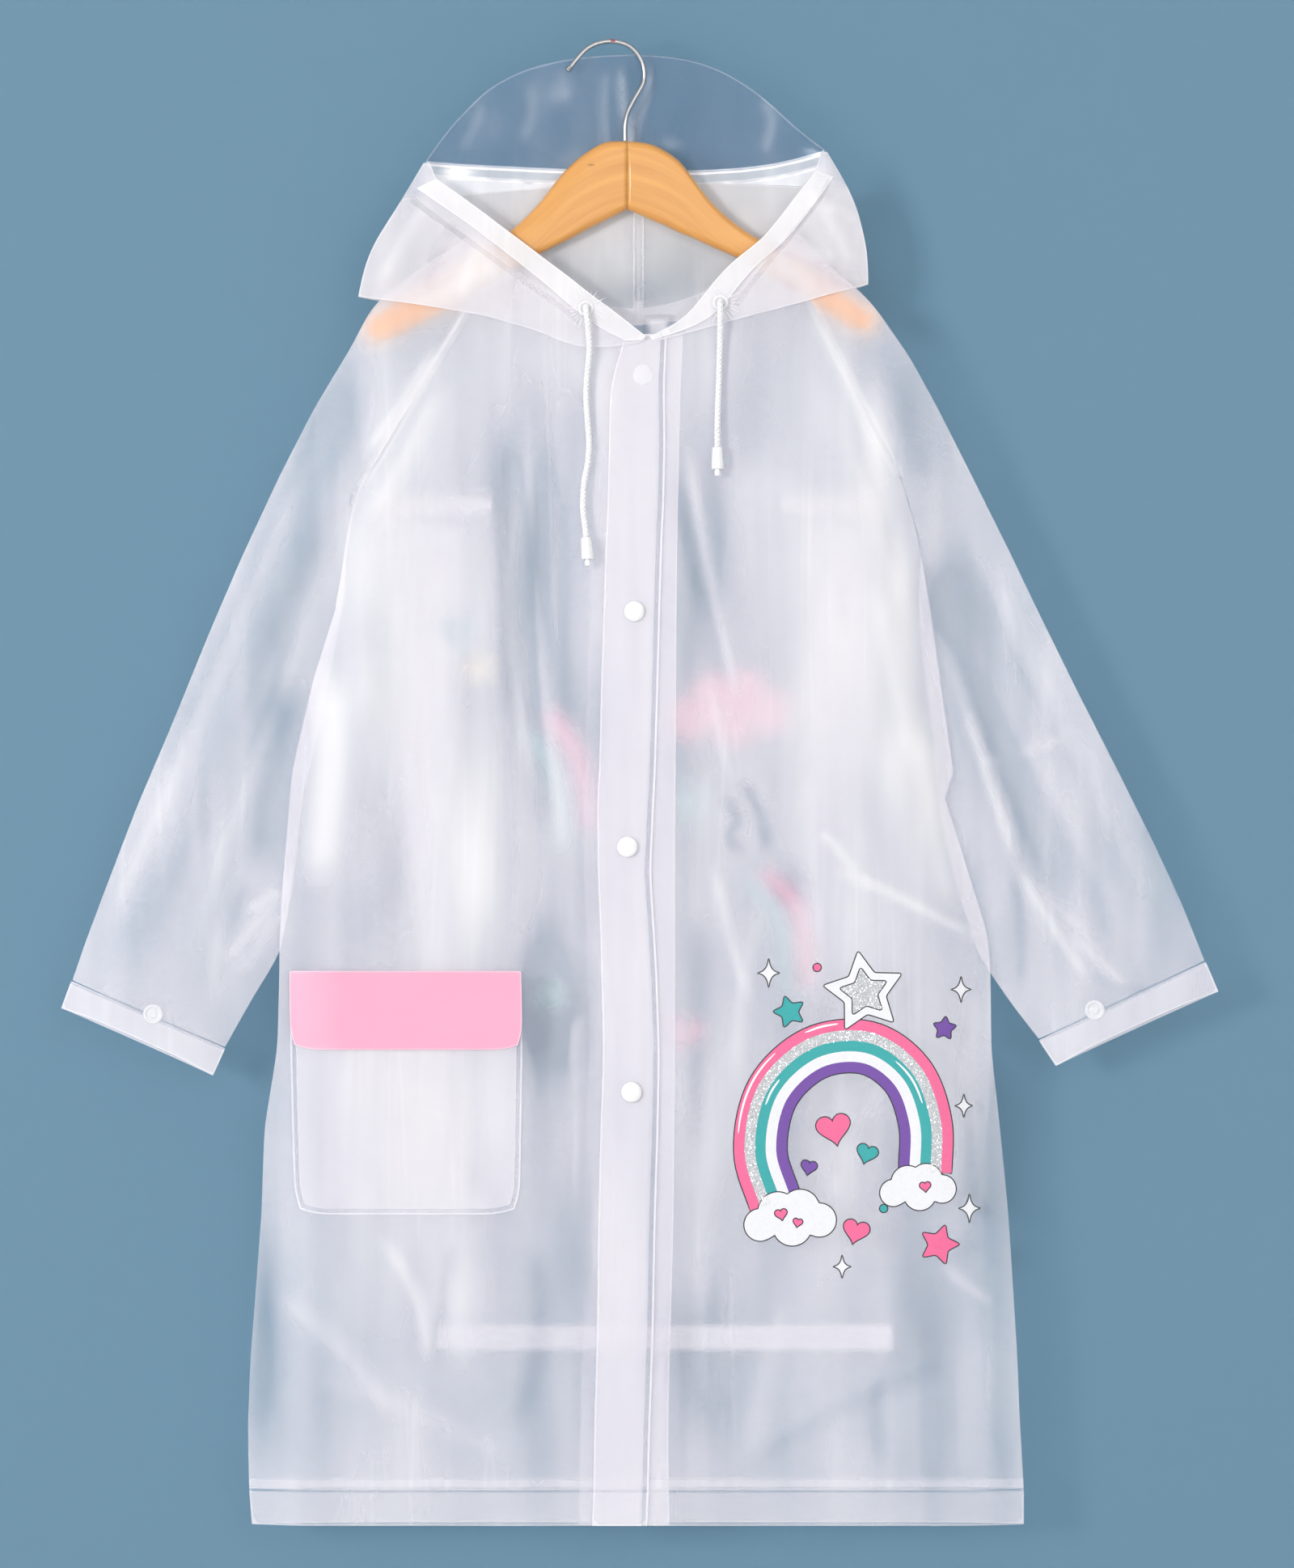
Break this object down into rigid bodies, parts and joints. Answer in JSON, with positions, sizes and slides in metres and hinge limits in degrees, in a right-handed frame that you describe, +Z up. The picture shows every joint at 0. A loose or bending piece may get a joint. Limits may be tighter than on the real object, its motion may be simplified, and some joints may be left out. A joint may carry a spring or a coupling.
{
  "type": "hooded raincoat on hanger",
  "caption": "See-through hooded raincoat for a child, hanging flat and snapped shut on a wooden hanger: raglan sleeves, clear visor, flap pocket, drawcord hood.",
  "frame": {"origin": "inside of the top of the hanger's hook, where a rail holds it", "axes": "+X to the viewer's right when facing the front, +Y from the front to the back, +Z up"},
  "size_m": [0.8372, 0.0389, 1.0738],
  "materials": {
    "film": "frosted translucent film",
    "band": "frosted film, doubled",
    "clear": "glossy clear film",
    "pink": "smooth opaque film",
    "white": "smooth moulded plastic",
    "cord": "braided cord",
    "wood": "clear lacquered",
    "steel": "bright plated wire"
  },
  "bodies": {
    "root": {"front_left": "film", "front_right": "film", "back": "film", "back_pleat_left": "film", "back_pleat_right": "film", "pocket_bag": "film", "sleeve_left_front": "film", "sleeve_left_back": "film", "sleeve_right_front": "film", "sleeve_right_back": "film", "hood_left_front": "film", "hood_right_front": "film", "hood_left_back": "film", "hood_right_back": "film", "casing_left": "film", "casing_right": "film", "placket": "band", "facing_left": "band", "facing_right": "band", "hem_front_left": "band", "hem_front_right": "band", "hem_back": "band", "pleat_bar_left": "band", "pleat_bar_right": "band", "back_tape": "band", "back_tape_end": "band", "cuff_left": "band", "cuff_right": "band", "hood_centre_tape": "band", "visor": "clear", "visor_band": "clear", "pocket_flap": "pink", "neck_label": "white", "snap_1": "white", "snap_2": "white", "snap_3": "white", "snap_4": "white", "cuff_snap_left": "white", "cuff_snap_right": "white", "eyelet_left": "white", "eyelet_right": "white", "cord_end_left": "white", "cord_end_right": "white", "cord_left": "cord", "cord_right": "cord", "cord_tip_left": "cord", "cord_tip_right": "cord", "hanger_left": "wood", "hanger_right": "wood", "hook": "steel", "hook_tip": "steel"}
  },
  "joints": []
}
